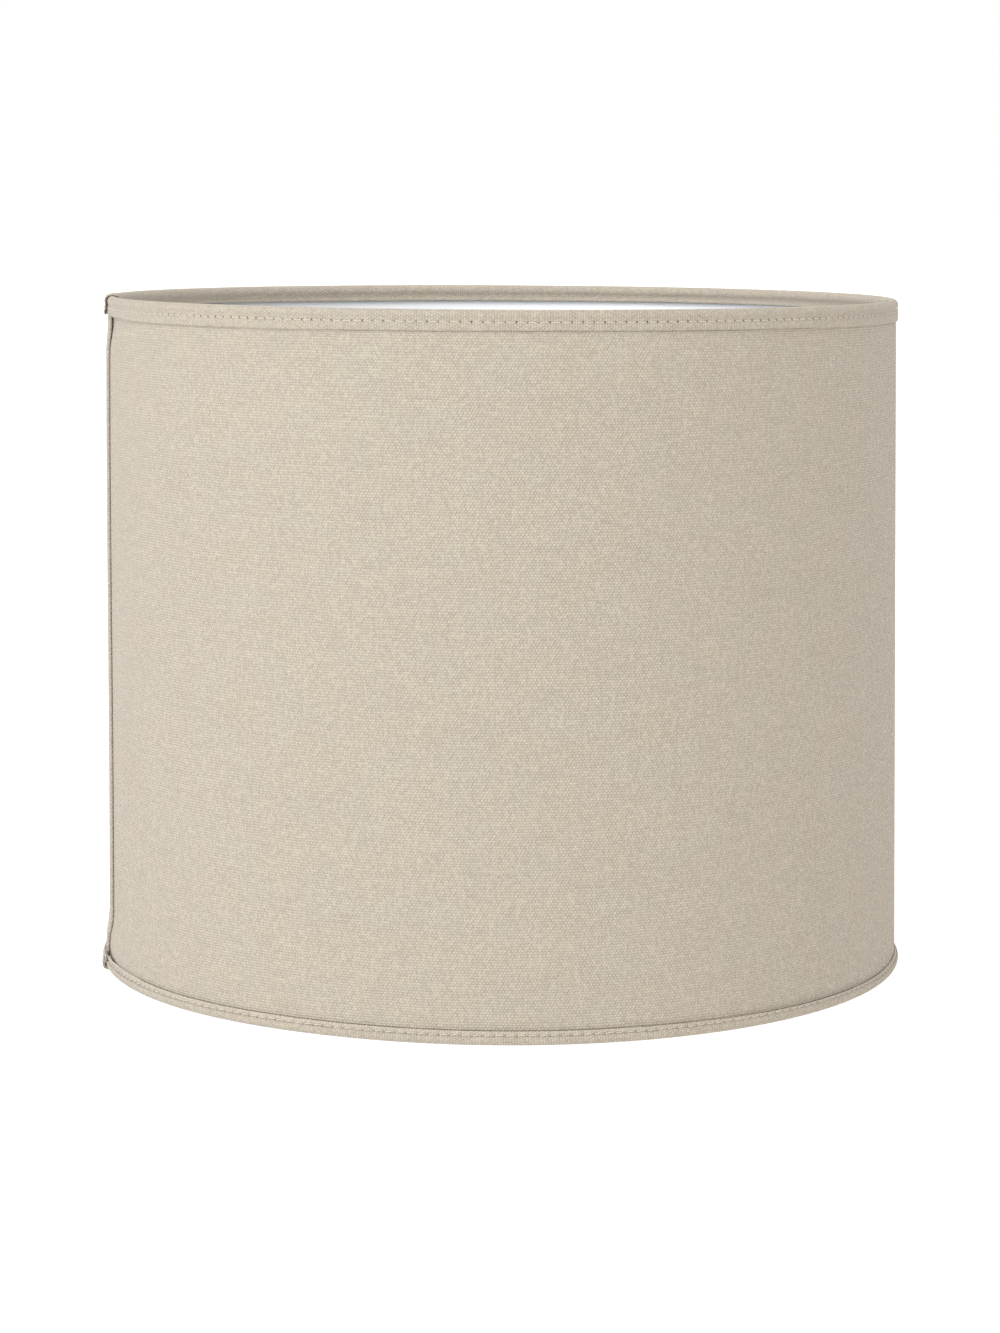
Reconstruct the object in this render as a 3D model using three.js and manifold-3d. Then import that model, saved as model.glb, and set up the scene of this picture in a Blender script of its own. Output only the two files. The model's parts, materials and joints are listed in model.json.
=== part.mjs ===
// A drum lamp shade, 300 mm across and 250 mm high: a fabric cover on a white liner, lapped into a
// cylinder, its two wire rings bound in by sewn tape, and a tilting fitter ring on two cranked arms.
// Millimetres. +Z is up, the front faces -Y, and the origin is on the axis at the bottom rim.

import * as THREE from 'three';
import { mergeVertices } from 'three/addons/utils/BufferGeometryUtils.js';
import Module from 'manifold-3d';

const wasm = await Module();
wasm.setup();

// ---------------------------------------------------------------- driving dimensions

const OUTER_RADIUS = 150; // over the bulge of the binding
const HEIGHT = 250;
const FIT = 0.1; // clearance between layers that lie on each other

const WIRE_RADIUS = 1.4; // both rings
const TAPE = 0.45; // binding tape
const COVER_RADIUS = 148.6; // outside of the fabric
const COVER = 0.5;
const LINER = 0.4;

const TOP_OUTER_FLAP = 7.5; // rim to the edge of the binding, outside and inside
const TOP_INNER_FLAP = 7.2;
const BOTTOM_OUTER_FLAP = 6;
const BOTTOM_INNER_FLAP = 7;
const TOP_STITCH = 4.2; // rim to the line of stitches
const BOTTOM_STITCH = 4.2;
const THREAD = 0.3;

const LAP_START = 185; // degrees: the hidden inner end of the rolled panel
const LAP_END = 190; // the folded outer end, which is seen
const DIP_END = 200; // from here on the panel is back at its full radius
const TAIL_END = 180; // the inner binding lies flat again here
const LAP_GAP = 0.4; // room for the adhesive between the two ends

const PIVOT_HEIGHT = 222; // the fitter hangs 28 mm below the top rim
const ARM_RADIUS = 1.6;
const ARM_REACH = 142.4; // axis to the arm's upright leg
const PIN_END = 28.9; // the arm's tip, inside the ear

const PLATE = 1.2; // pressed steel of the fitter ring
const PLATE_DROP = 5.5; // pivot to the top of the plate
const FITTER_HOLE = 21.25; // 42.5 mm hole for an E27 lampholder
const FITTER_RADIUS = 32;
const FITTER_RIM = 3;
const EAR_WIDTH = 10;
const PIVOT_HOLE = 1.95;

const REDUCER_HOLE = 14.5; // 29 mm hole for an E14 lampholder
const REDUCER_SPIGOT = 21;
const REDUCER_FLANGE = 24.5;
const REDUCER_DEPTH = 3.2;
const REDUCER_THICKNESS = 1.6;

// ---------------------------------------------------------------- worked out from them

const TUBE = WIRE_RADIUS + FIT + TAPE; // radius of the bound rim
const RING_RADIUS = OUTER_RADIUS - TUBE;
const COVER_INSIDE = COVER_RADIUS - COVER;
const LINER_RADIUS = COVER_INSIDE - FIT;
const LINER_INSIDE = LINER_RADIUS - LINER;
const LAP_DIP = COVER_RADIUS - LINER_INSIDE + LAP_GAP;
const PANEL_MARGIN = TAPE + 2 * FIT + 2 * WIRE_RADIUS + 0.1; // rim to the cut edge of the panel
const EAR_INSIDE = FITTER_RADIUS - PLATE;
const PLATE_TOP = PIVOT_HEIGHT - PLATE_DROP;

// Everything that goes round the shade turns at these same angles, so layers stay evenly spaced.
const FACET = 6;
const ANGLES = [...Array(360 / FACET).keys()].map((step) => step * FACET);
for (const angle of [LAP_START, LAP_END, DIP_END]) {
  if (!ANGLES.includes(angle)) ANGLES.push(angle);
}
ANGLES.sort((a, b) => a - b);

// ---------------------------------------------------------------- materials

function material(color, roughness, metalness = 0) {
  return new THREE.MeshStandardMaterial({ color, roughness, metalness });
}

const canvas = material('#cfc4b0', 0.9);
const tape = material('#c9bea9', 0.88);
const whiteSheet = material('#eeeff0', 0.45);
const adhesive = material('#e3dcc8', 0.6);
const cotton = material('#d6cdba', 0.85);
const whiteWire = material('#e9e9e6', 0.4);
const zinc = material('#b9bcbe', 0.35, 0.9);
const springSteel = material('#8f9396', 0.3, 1);
const whitePlastic = material('#f2f2ee', 0.4);

// ---------------------------------------------------------------- geometry helpers

function radians(degrees) {
  return THREE.MathUtils.degToRad(degrees);
}

// A section outline of [radius, height] points, anticlockwise, placed at an angle round the axis.
function placeSection(outline, angle) {
  const [c, s] = [Math.cos(radians(angle)), Math.sin(radians(angle))];
  return outline.flatMap(([radius, height]) => [radius * c, radius * s, height]);
}

function meshOf(positions, triangles) {
  const geometry = new THREE.BufferGeometry();
  geometry.setAttribute('position', new THREE.Float32BufferAttribute(positions, 3));
  geometry.setIndex(triangles);
  geometry.computeVertexNormals();
  return geometry;
}

// Skins the sections one after another. With closed true the last one joins the first; otherwise
// both ends are capped, so an open sweep takes a section without hollows.
function sweep(angles, outlineAt, closed) {
  const positions = angles.flatMap((angle) => placeSection(outlineAt(angle), angle));
  const size = outlineAt(angles[0]).length;
  const triangles = [];
  const spans = closed ? angles.length : angles.length - 1;
  for (let span = 0; span < spans; span++) {
    const here = span * size;
    const next = ((span + 1) % angles.length) * size;
    for (let corner = 0; corner < size; corner++) {
      const after = (corner + 1) % size;
      triangles.push(here + corner, next + corner, next + after);
      triangles.push(here + corner, next + after, here + after);
    }
  }
  if (!closed) {
    const last = (angles.length - 1) * size;
    for (let corner = 1; corner < size - 1; corner++) {
      triangles.push(0, corner, corner + 1);
      triangles.push(last, last + corner + 1, last + corner);
    }
  }
  return meshOf(positions, triangles);
}

function toSolid(geometry) {
  const bare = geometry.clone();
  bare.deleteAttribute('normal');
  bare.deleteAttribute('uv');
  const merged = mergeVertices(bare, 1e-4);
  const vertProperties = new Float32Array(merged.attributes.position.array);
  const triVerts = new Uint32Array(merged.index.array);
  return new wasm.Manifold(new wasm.Mesh({ numProp: 3, vertProperties, triVerts }));
}

function toGeometry(solid) {
  const result = solid.getMesh();
  return meshOf(Array.from(result.vertProperties), Array.from(result.triVerts));
}

function join(...geometries) {
  return toGeometry(geometries.map(toSolid).reduce((a, b) => a.add(b)));
}

function cut(geometry, ...tools) {
  return toGeometry(tools.map(toSolid).reduce((rest, tool) => rest.subtract(tool), toSolid(geometry)));
}

// A turned piece round +Z from [radius, height] points that go round the material.
function turned(profile, segments) {
  const points = [...profile, profile[0]].map(([radius, height]) => new THREE.Vector2(radius, height));
  return new THREE.LatheGeometry(points, segments).rotateX(Math.PI / 2);
}

// A washer-like ring whose axis is X, from x = near to x = far.
function ringOnX(inner, outer, near, far, segments) {
  const profile = [[inner, near], [outer, near], [outer, far], [inner, far]];
  return turned(profile, segments).rotateY(Math.PI / 2);
}

function block(width, depth, height, x, y, z) {
  return new THREE.BoxGeometry(width, depth, height).translate(x, y, z);
}

// ---------------------------------------------------------------- rolled panel: cover, liner, glue

// How far the panel dips inward to pass under its own outer end.
function dip(angle) {
  return LAP_DIP * THREE.MathUtils.clamp((DIP_END - angle) / (DIP_END - LAP_END), 0, 1);
}

// One layer of the panel, from its hidden inner end once round to the folded end on top of it.
function rolledLayer(outside, thickness) {
  const first = ANGLES.filter((angle) => angle >= LAP_START);
  const second = ANGLES.filter((angle) => angle <= LAP_END).map((angle) => angle + 360);
  return sweep([...first, ...second], (angle) => {
    const radius = outside - dip(angle);
    return [
      [radius - thickness, PANEL_MARGIN],
      [radius, PANEL_MARGIN],
      [radius, HEIGHT - PANEL_MARGIN],
      [radius - thickness, HEIGHT - PANEL_MARGIN],
    ];
  }, false);
}

function lapAdhesive() {
  const thickness = 0.15;
  const outside = LINER_INSIDE - thickness;
  const inset = 1;
  const margin = PANEL_MARGIN + inset;
  const angles = [LAP_START + inset / 2, (LAP_START + LAP_END) / 2, LAP_END - inset / 2];
  return sweep(angles, () => [
    [outside - thickness, margin],
    [outside, margin],
    [outside, HEIGHT - margin],
    [outside - thickness, HEIGHT - margin],
  ], false);
}

// ---------------------------------------------------------------- rims: wire, tape and stitches

// Points on a circle about the wire's centre. 0 degrees faces out, 90 degrees faces the rim.
function roundWire(radius, angle) {
  const turn = radians(angle);
  return [RING_RADIUS + radius * Math.cos(turn), TUBE - radius * Math.sin(turn)];
}

function wireOutline() {
  return [0, 45, 90, 135, 180, 225, 270, 315].map((angle) => roundWire(WIRE_RADIUS, angle));
}

// How far the inner flap stands in from the panel, over the doubled ends and the run-up to them.
function lapInset(angle) {
  if (angle < TAIL_END) return 0;
  if (angle < LAP_START) return LAP_DIP * (angle - TAIL_END) / (LAP_START - TAIL_END);
  return dip(angle);
}

// Up the outside of the tape, over the wire, down the inside, and back up along its lining side.
function tapeOutline(angle, outerFlap, innerFlap) {
  const outsideFace = COVER_RADIUS + FIT;
  const insideFace = LINER_INSIDE - FIT - lapInset(angle);
  const pinch = TUBE + WIRE_RADIUS + 0.6;
  const lining = TUBE + WIRE_RADIUS + FIT;
  const flat = 0.85;
  const arc = (radius, angles) => angles.map((turn) => roundWire(radius, turn));
  return [
    [outsideFace + TAPE, outerFlap],
    [outsideFace + TAPE, pinch],
    ...arc(TUBE, [-45, 0, 45]),
    [RING_RADIUS + flat, 0],
    [RING_RADIUS - flat, 0],
    ...arc(TUBE, [135, 180]),
    [insideFace - TAPE, pinch],
    [insideFace - TAPE, innerFlap],
    [insideFace, innerFlap],
    [insideFace, lining],
    ...arc(WIRE_RADIUS + FIT, [225, 180, 135, 90, 45, 0, -45]),
    [outsideFace, lining],
    [outsideFace, outerFlap],
  ];
}

function threadOutline(faceRadius, outward, drop) {
  const root = faceRadius + outward * 0.04;
  const half = THREAD / 2;
  return [
    [root, drop - half],
    [root, drop + half],
    [root + outward * THREAD, drop],
  ];
}

// Outlines are drawn as [radius, depth below the rim]; this stands them on the top or bottom rim.
function rimRing(atTop, outlineAt, angles = ANGLES) {
  const place = ([radius, depth]) => [radius, atTop ? HEIGHT - depth : depth];
  const signedArea = (points) => points.reduce((sum, [x, y], i) => {
    const [nextX, nextY] = points[(i + 1) % points.length];
    return sum + x * nextY - nextX * y;
  }, 0);
  return sweep(angles, (angle) => {
    const outline = outlineAt(angle).map(place);
    return signedArea(outline) > 0 ? outline : outline.reverse();
  }, angles === ANGLES);
}

function binding(atTop, outerFlap, innerFlap) {
  return rimRing(atTop, (angle) => tapeOutline(angle, outerFlap, innerFlap));
}

// The inner flap of the top binding is slit where each arm leaves the ring.
function topBinding() {
  const slitWidth = 7;
  const slitTop = HEIGHT - 0.7;
  const slitHeight = 10;
  const slitOutside = LINER_INSIDE + FIT / 2;
  const slitDepth = 6;
  const slits = [1, -1].map((side) => block(
    slitDepth, slitWidth, slitHeight,
    side * (slitOutside - slitDepth / 2), 0, slitTop - slitHeight / 2,
  ));
  return cut(binding(true, TOP_OUTER_FLAP, TOP_INNER_FLAP), ...slits);
}

function needleThread(atTop, drop) {
  return rimRing(atTop, () => threadOutline(COVER_RADIUS + FIT + TAPE, 1, drop));
}

function bobbinThread(atTop, drop, angles = ANGLES) {
  const face = (angle) => LINER_INSIDE - FIT - TAPE - lapInset(angle);
  return rimRing(atTop, (angle) => threadOutline(face(angle), -1, drop), angles);
}

// At the top the inner row is broken at the two arms, into a front and a back length.
function topBobbinLength(from, to) {
  return bobbinThread(true, TOP_STITCH, ANGLES.filter((angle) => angle > from && angle < to));
}

// ---------------------------------------------------------------- fitter

// A path through given points, one point to each extrusion step.
class BentPath extends THREE.Curve {
  constructor(points) {
    super();
    this.points = points;
  }

  getPoint(t, target = new THREE.Vector3()) {
    const place = t * (this.points.length - 1);
    const index = Math.min(Math.floor(place), this.points.length - 2);
    return target.lerpVectors(this.points[index], this.points[index + 1], place - index);
  }

  getPointAt(u, target) {
    return this.getPoint(u, target);
  }

  getTangentAt(u, target) {
    return this.getTangent(u, target);
  }
}

// Straight runs in the XZ plane through corners that are rounded by bends.
function bentPath(corners, bends) {
  const at = ([x, z]) => new THREE.Vector3(x, 0, z);
  const points = [at(corners[0])];
  for (let i = 1; i < corners.length - 1; i++) {
    const corner = at(corners[i]);
    const before = at(corners[i - 1]).sub(corner).setLength(bends[i - 1]).add(corner);
    const after = at(corners[i + 1]).sub(corner).setLength(bends[i - 1]).add(corner);
    points.push(...new THREE.QuadraticBezierCurve3(before, corner, after).getPoints(5));
  }
  points.push(at(corners.at(-1)));
  return new BentPath(points);
}

// Welded to the inside of the top ring, down the wall, then straight in to become the pivot pin.
function arm() {
  const ringHeight = HEIGHT - TUBE;
  const start = RING_RADIUS - WIRE_RADIUS - 0.15;
  const corners = [
    [start, ringHeight],
    [ARM_REACH, ringHeight],
    [ARM_REACH, PIVOT_HEIGHT],
    [PIN_END, PIVOT_HEIGHT],
  ];
  const path = bentPath(corners, [3.6, 8]);
  const round = new THREE.Shape().absarc(0, 0, ARM_RADIUS, 0, 2 * Math.PI);
  const wire = new THREE.ExtrudeGeometry(round, {
    extrudePath: path,
    steps: path.points.length - 1,
    curveSegments: 12,
  });
  const collar = ringOnX(0, 3, FITTER_RADIUS + 1.1, FITTER_RADIUS + 2.3, 16);
  return join(wire, collar.translate(0, 0, PIVOT_HEIGHT));
}

function springWasher() {
  const near = FITTER_RADIUS + 0.2;
  return ringOnX(ARM_RADIUS + 0.25, 3.5, near, near + 0.7, 16).translate(0, 0, PIVOT_HEIGHT);
}

function retainingClip() {
  const far = EAR_INSIDE - 0.25;
  return ringOnX(ARM_RADIUS + 0.12, 3.6, far - 0.8, far, 16).translate(0, 0, PIVOT_HEIGHT);
}

// A flat ring with a turned-up rim and two ears that the arms' ends turn in.
function fitterRing() {
  const bottom = PLATE_TOP - PLATE;
  const dish = turned([
    [FITTER_HOLE, bottom],
    [FITTER_RADIUS, bottom],
    [FITTER_RADIUS, bottom + FITTER_RIM],
    [EAR_INSIDE, bottom + FITTER_RIM],
    [EAR_INSIDE, PLATE_TOP],
    [FITTER_HOLE, PLATE_TOP],
  ], 48);
  const middle = (FITTER_RADIUS + EAR_INSIDE) / 2;
  const pieces = [];
  const holes = [];
  for (const side of [1, -1]) {
    const tall = PIVOT_HEIGHT - bottom;
    pieces.push(block(PLATE, EAR_WIDTH, tall, side * middle, 0, bottom + tall / 2));
    const top = ringOnX(0, EAR_WIDTH / 2, EAR_INSIDE, FITTER_RADIUS, 24);
    pieces.push(top.rotateZ(side > 0 ? 0 : Math.PI).translate(0, 0, PIVOT_HEIGHT));
    const hole = ringOnX(0, PIVOT_HOLE, EAR_INSIDE - 1, FITTER_RADIUS + 1, 16);
    holes.push(hole.rotateZ(side > 0 ? 0 : Math.PI).translate(0, 0, PIVOT_HEIGHT));
  }
  return cut(join(dish, ...pieces), ...holes);
}

// A loose plastic ring that lies in the fitter and narrows its hole.
function reducerRing() {
  const seat = PLATE_TOP + 0.05;
  return turned([
    [REDUCER_HOLE, seat - REDUCER_DEPTH],
    [REDUCER_SPIGOT, seat - REDUCER_DEPTH],
    [REDUCER_SPIGOT, seat],
    [REDUCER_FLANGE, seat],
    [REDUCER_FLANGE, seat + REDUCER_THICKNESS],
    [REDUCER_HOLE, seat + REDUCER_THICKNESS],
  ], 48);
}

// ---------------------------------------------------------------- assembly

function add(group, name, geometry, look) {
  const mesh = new THREE.Mesh(geometry, look);
  mesh.name = name;
  group.add(mesh);
  return mesh;
}

function panel() {
  const group = new THREE.Group();
  add(group, 'fabric_cover', rolledLayer(COVER_RADIUS, COVER), canvas);
  add(group, 'shade_liner', rolledLayer(LINER_RADIUS, LINER), whiteSheet);
  add(group, 'seam_tape', lapAdhesive(), adhesive);
  return group;
}

function rims() {
  const group = new THREE.Group();
  add(group, 'top_ring', rimRing(true, wireOutline), whiteWire);
  add(group, 'bottom_ring', rimRing(false, wireOutline), whiteWire);
  add(group, 'top_binding', topBinding(), tape);
  add(group, 'bottom_binding', binding(false, BOTTOM_OUTER_FLAP, BOTTOM_INNER_FLAP), tape);
  add(group, 'top_needle_thread', needleThread(true, TOP_STITCH), cotton);
  add(group, 'bottom_needle_thread', needleThread(false, BOTTOM_STITCH), cotton);
  add(group, 'top_bobbin_thread_back', topBobbinLength(0, 180), cotton);
  add(group, 'top_bobbin_thread_front', topBobbinLength(180, 360), cotton);
  add(group, 'bottom_bobbin_thread', bobbinThread(false, BOTTOM_STITCH), cotton);
  return group;
}

function spider() {
  const group = new THREE.Group();
  for (const [side, turn] of [['right', 0], ['left', Math.PI]]) {
    const half = new THREE.Group();
    add(half, `${side}_arm`, arm(), whiteWire);
    add(half, `${side}_spring_washer`, springWasher(), springSteel);
    add(half, `${side}_retaining_clip`, retainingClip(), springSteel);
    half.rotation.z = turn;
    group.add(half);
  }
  return group;
}

function fitter() {
  const group = new THREE.Group();
  add(group, 'fitter_ring', fitterRing(), zinc);
  add(group, 'reducer_ring', reducerRing(), whitePlastic);
  return group;
}

const shade = new THREE.Group();
shade.name = 'drum_lamp_shade';
shade.add(panel(), rims(), spider(), fitter());

export default shade;
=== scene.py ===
"""A drum lamp shade in natural canvas, with its rims bound in sewn canvas tape.

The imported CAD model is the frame. Every soft piece of it is replaced here by cloth modelled as it is
made: a rolled panel with a folded seam, turned-in bindings, single stitches and frayed tape ends. The
wires and the fitter are made again as smooth metal. Lengths are in metres and angles in degrees,
counted anticlockwise from +X seen from above; the front is 270.
"""

import json
import math
import random

import bmesh
import bpy
import numpy as np
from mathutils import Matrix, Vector


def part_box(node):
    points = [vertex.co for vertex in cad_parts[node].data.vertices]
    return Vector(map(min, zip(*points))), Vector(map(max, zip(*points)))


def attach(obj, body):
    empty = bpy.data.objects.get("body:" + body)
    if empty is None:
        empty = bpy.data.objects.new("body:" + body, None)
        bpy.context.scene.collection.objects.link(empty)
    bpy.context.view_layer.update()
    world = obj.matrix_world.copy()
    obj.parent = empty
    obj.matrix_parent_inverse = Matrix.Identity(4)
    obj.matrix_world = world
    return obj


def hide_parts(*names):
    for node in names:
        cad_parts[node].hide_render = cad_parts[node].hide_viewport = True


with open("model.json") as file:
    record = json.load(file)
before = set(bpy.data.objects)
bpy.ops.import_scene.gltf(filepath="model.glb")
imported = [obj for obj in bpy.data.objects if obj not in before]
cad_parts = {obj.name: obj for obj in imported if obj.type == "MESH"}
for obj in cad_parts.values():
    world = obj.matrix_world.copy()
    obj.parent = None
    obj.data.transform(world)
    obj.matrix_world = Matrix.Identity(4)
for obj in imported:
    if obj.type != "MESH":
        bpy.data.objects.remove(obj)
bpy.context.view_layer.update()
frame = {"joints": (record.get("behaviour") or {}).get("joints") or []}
MM = 0.001

# ---------------------------------------------------------------- sizes, from the frame

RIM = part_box("top_binding")[1].x  # over the bulge of the binding
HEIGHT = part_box("top_binding")[1].z
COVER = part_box("fabric_cover")[1].x  # outside of the canvas
PANEL_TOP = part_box("fabric_cover")[1].z
PANEL_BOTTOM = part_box("fabric_cover")[0].z
WIRE = (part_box("top_ring")[1].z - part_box("top_ring")[0].z) / 2
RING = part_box("top_ring")[1].x - WIRE  # axis to the middle of the wire
RING_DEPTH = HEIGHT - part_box("top_ring")[1].z + WIRE  # rim to the middle of the wire
STITCH = HEIGHT - (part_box("top_needle_thread")[0].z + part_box("top_needle_thread")[1].z) / 2
PIVOT = next(j for j in frame["joints"] if j["name"] == "fitter_tilt")["pos_m"][2]

CANVAS_THICK = 0.40 * MM
LINER_THICK = 0.30 * MM
TAPE_THICK = 0.27 * MM  # the binding is two of these thick
AIR = 0.04 * MM  # between layers

FOLD_ANGLE = 190.0  # the seam's folded edge
HIDDEN_ANGLE = 185.0  # the panel's other end, under it
LEVEL_ANGLE = 201.0  # from here the panel is back at its full radius
SEAM_HEM = 9 * MM  # canvas turned back at the fold

STITCHES = 248  # round each rim
STITCH_MM = 3.8  # and this many mm apart
TAPE_START = 182.0  # each binding's first end, beneath
TOP_TAPE_END = 189.6 + 360  # its last end, raw, on top and facing forward
BOTTOM_TAPE_END = 192.8 + 360
LAP = 539.0  # from here the tape lies on its own first stretch

TAPER = 0.0065  # the top rim is a hair smaller than the bottom one
TOP_RING_INSET = 0.6 * MM  # and its wire lies a little deeper than the bottom one's

TOP_TILT = 0.75 * MM  # the left of the top rim stands this much high, the right this much low
BOTTOM_TILT = 0.3 * MM

BOTTOM_PRESS = 0.63  # the bottom binding's thickness, pressed flat, as a share of the top one's
BOTTOM_STITCH_DROP = 0.75 * MM  # its stitches run this much nearer the rim
INNER_MARK = 5.0  # what the seam map holds, across the tape, where the needle holes don't show


# ---------------------------------------------------------------- placing things round the axis

def smooth(edge0, edge1, value):
    t = np.clip((value - edge0) / (edge1 - edge0), 0, 1)
    return t * t * (3 - 2 * t)


def wander(angle, seed, waves=(2, 3, 5, 8, 13)):
    """A smooth repeating unevenness round the shade, between about -1 and 1."""
    rng = random.Random(seed)
    total = 0
    for wave in waves:
        size = rng.uniform(0.5, 1.0) / math.sqrt(wave)
        total = total + size * np.sin(np.radians(angle) * wave + rng.uniform(0, 2 * math.pi))
    return total / 1.4


def stand(angle, radius, height):
    """Points at an angle, radius and height, with the small tilt of each rim."""
    a = np.radians(angle)
    radius = radius * (1 + TAPER * (0.5 - height / HEIGHT))
    x, y = radius * np.cos(a), radius * np.sin(a)
    side = x / RIM
    low = BOTTOM_TILT * (1 - side) + 0.4 * MM * np.exp(-((angle % 360 - 242) / 24) ** 2)
    high = -TOP_TILT * side
    share = height / HEIGHT
    z = height + low * (1 - share) + high * share
    return np.stack(np.broadcast_arrays(x, y, z), axis=-1)


# ---------------------------------------------------------------- mesh helpers

def new_object(name, vertices, faces, uvs=None, material=None, smooth_faces=True):
    mesh = bpy.data.meshes.new(name)
    mesh.from_pydata(np.asarray(vertices).tolist(), [], [list(map(int, f)) for f in faces])
    if uvs is not None:
        layer = mesh.uv_layers.new(name="cloth")
        loops = np.empty(len(mesh.loops), dtype=np.int32)
        mesh.loops.foreach_get("vertex_index", loops)
        layer.data.foreach_set("uv", np.asarray(uvs, dtype=np.float32)[loops].ravel())
    mesh.polygons.foreach_set("use_smooth", [smooth_faces] * len(mesh.polygons))
    mesh.update()
    obj = bpy.data.objects.new(name, mesh)
    bpy.context.scene.collection.objects.link(obj)
    if material is not None:
        mesh.materials.append(material)
    return obj


def grid_normals(grid):
    down = np.gradient(grid, axis=0)
    across = np.gradient(grid, axis=1)
    normal = np.cross(down, across)
    return normal / np.maximum(np.linalg.norm(normal, axis=-1, keepdims=True), 1e-12)


def steps_along(points):
    """Distance travelled along the first axis of a list of points."""
    return np.concatenate([[0], np.cumsum(np.linalg.norm(np.diff(points, axis=0), axis=-1))])


def sheet_mesh(name, grid, thickness, material, flip=False, keep=None, closed=False):
    """A closed sheet of even thickness about a grid of points, with UVs in metres of cloth.

    keep marks the cells that have cloth in them; closed joins the last row back to the first.
    """
    rows, cols = grid.shape[:2]
    wrapped = np.concatenate([grid[-1:], grid, grid[:1]]) if closed else grid
    normal = grid_normals(wrapped)[1:-1] if closed else grid_normals(grid)
    normal = normal * (-1 if flip else 1)
    front = (grid + normal * thickness / 2).reshape(-1, 3)
    back = (grid - normal * thickness / 2).reshape(-1, 3)
    u = steps_along(grid[:, cols // 2])
    v = steps_along(grid[rows // 2])
    uv = np.stack(np.meshgrid(u, v, indexing="ij"), axis=-1).reshape(-1, 2)
    count = rows * cols
    index = np.arange(count).reshape(rows, cols)
    if closed:
        index = np.concatenate([index, index[:1]])
    a, b, c, d = index[:-1, :-1], index[1:, :-1], index[1:, 1:], index[:-1, 1:]
    quads = np.stack([a, b, c, d], axis=-1).reshape(-1, 4)
    if keep is not None:
        quads = quads[keep.reshape(-1)]
    sides = np.concatenate([quads[:, [0, 1]], quads[:, [1, 2]], quads[:, [2, 3]], quads[:, [3, 0]]])
    known = set(map(tuple, sides.tolist()))
    rim = np.array([pair for pair in sides.tolist() if (pair[1], pair[0]) not in known])
    walls = np.stack([rim[:, 1], rim[:, 0], rim[:, 0] + count, rim[:, 1] + count], axis=-1)
    faces = np.concatenate([quads, quads[:, ::-1] + count, walls])
    if flip:
        faces = faces[:, ::-1]
    return new_object(name, np.concatenate([front, back]), faces, np.concatenate([uv, uv]), material)


def second_uv(obj, name, values):
    """Another UV map, from one pair of values for each of the sheet's grid points."""
    mesh = obj.data
    pairs = np.asarray(values, dtype=np.float32).reshape(-1, 2)
    pairs = np.concatenate([pairs, pairs])
    loops = np.empty(len(mesh.loops), dtype=np.int32)
    mesh.loops.foreach_get("vertex_index", loops)
    mesh.uv_layers.new(name=name).data.foreach_set("uv", pairs[loops].ravel())
    mesh.uv_layers["cloth"].active_render = True


def curve_through(points, count):
    """count points evenly spaced along a smooth curve through the given ones (Catmull-Rom)."""
    p = np.asarray(points, float)
    p = np.concatenate([[2 * p[0] - p[1]], p, [2 * p[-1] - p[-2]]])
    t = np.linspace(0, 1, 24, endpoint=False)[:, None]
    spans = []
    for p0, p1, p2, p3 in zip(p, p[1:], p[2:], p[3:]):
        spans.append(0.5 * (2 * p1 + (p2 - p0) * t + (2 * p0 - 5 * p1 + 4 * p2 - p3) * t ** 2
                            + (3 * p1 - p0 - 3 * p2 + p3) * t ** 3))
    dense = np.concatenate(spans + [p[-2:-1]])
    along = steps_along(dense)
    want = np.linspace(0, along[-1], count)
    return np.stack([np.interp(want, along, dense[:, k]) for k in range(dense.shape[1])], axis=-1)


def tube_parts(points, radius, sides):
    """Vertices and faces of a tube along a path, with closed ends. radius may vary along it."""
    points = np.asarray(points, float)
    count = len(points)
    radii = np.broadcast_to(np.asarray(radius, float), (count,))
    tangent = np.gradient(points, axis=0)
    tangent /= np.linalg.norm(tangent, axis=-1, keepdims=True)
    helper = np.array([0.0, 0.0, 1.0]) if abs(tangent[0][2]) < 0.9 else np.array([0.0, 1.0, 0.0])
    normal = np.cross(tangent[0], helper)
    turn = np.linspace(0, 2 * math.pi, sides, endpoint=False)
    rings = []
    for here in range(count):
        normal = normal - tangent[here] * np.dot(normal, tangent[here])
        normal /= np.linalg.norm(normal)
        other = np.cross(tangent[here], normal)
        ring = np.outer(np.cos(turn), normal) + np.outer(np.sin(turn), other)
        rings.append(points[here] + ring * radii[here])
    vertices = np.concatenate(rings)
    index = np.arange(count * sides).reshape(count, sides)
    after = np.roll(index, -1, axis=1)
    quads = np.stack([index[:-1], after[:-1], after[1:], index[1:]], axis=-1).reshape(-1, 4)
    faces = [list(q) for q in quads] + [list(index[0][::-1]), list(index[-1])]
    return vertices, faces


def joined(name, parts, material):
    """One object from several (vertices, faces) pairs."""
    vertices, faces, base = [], [], 0
    for some, these in parts:
        vertices.append(some)
        faces.extend([[base + corner for corner in face] for face in these])
        base += len(some)
    return new_object(name, np.concatenate(vertices), faces, material=material)


def lathe_parts(profile, segments, spot=(0, 0, 0), axis="Z"):
    """A closed ring turned from a closed outline of (radius, height) points."""
    profile = np.asarray(profile, float)
    turn = np.linspace(0, 2 * math.pi, segments, endpoint=False)
    ring = [[(r * math.cos(a), r * math.sin(a), h) for r, h in profile] for a in turn]
    vertices = np.array(ring).reshape(-1, 3)
    if axis == "X":
        vertices = vertices[:, [2, 0, 1]]
    size = len(profile)
    faces = []
    for i in range(segments):
        j = (i + 1) % segments
        for k in range(size):
            m = (k + 1) % size
            faces.append([i * size + k, j * size + k, j * size + m, i * size + m])
    return vertices + np.array(spot), faces


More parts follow.
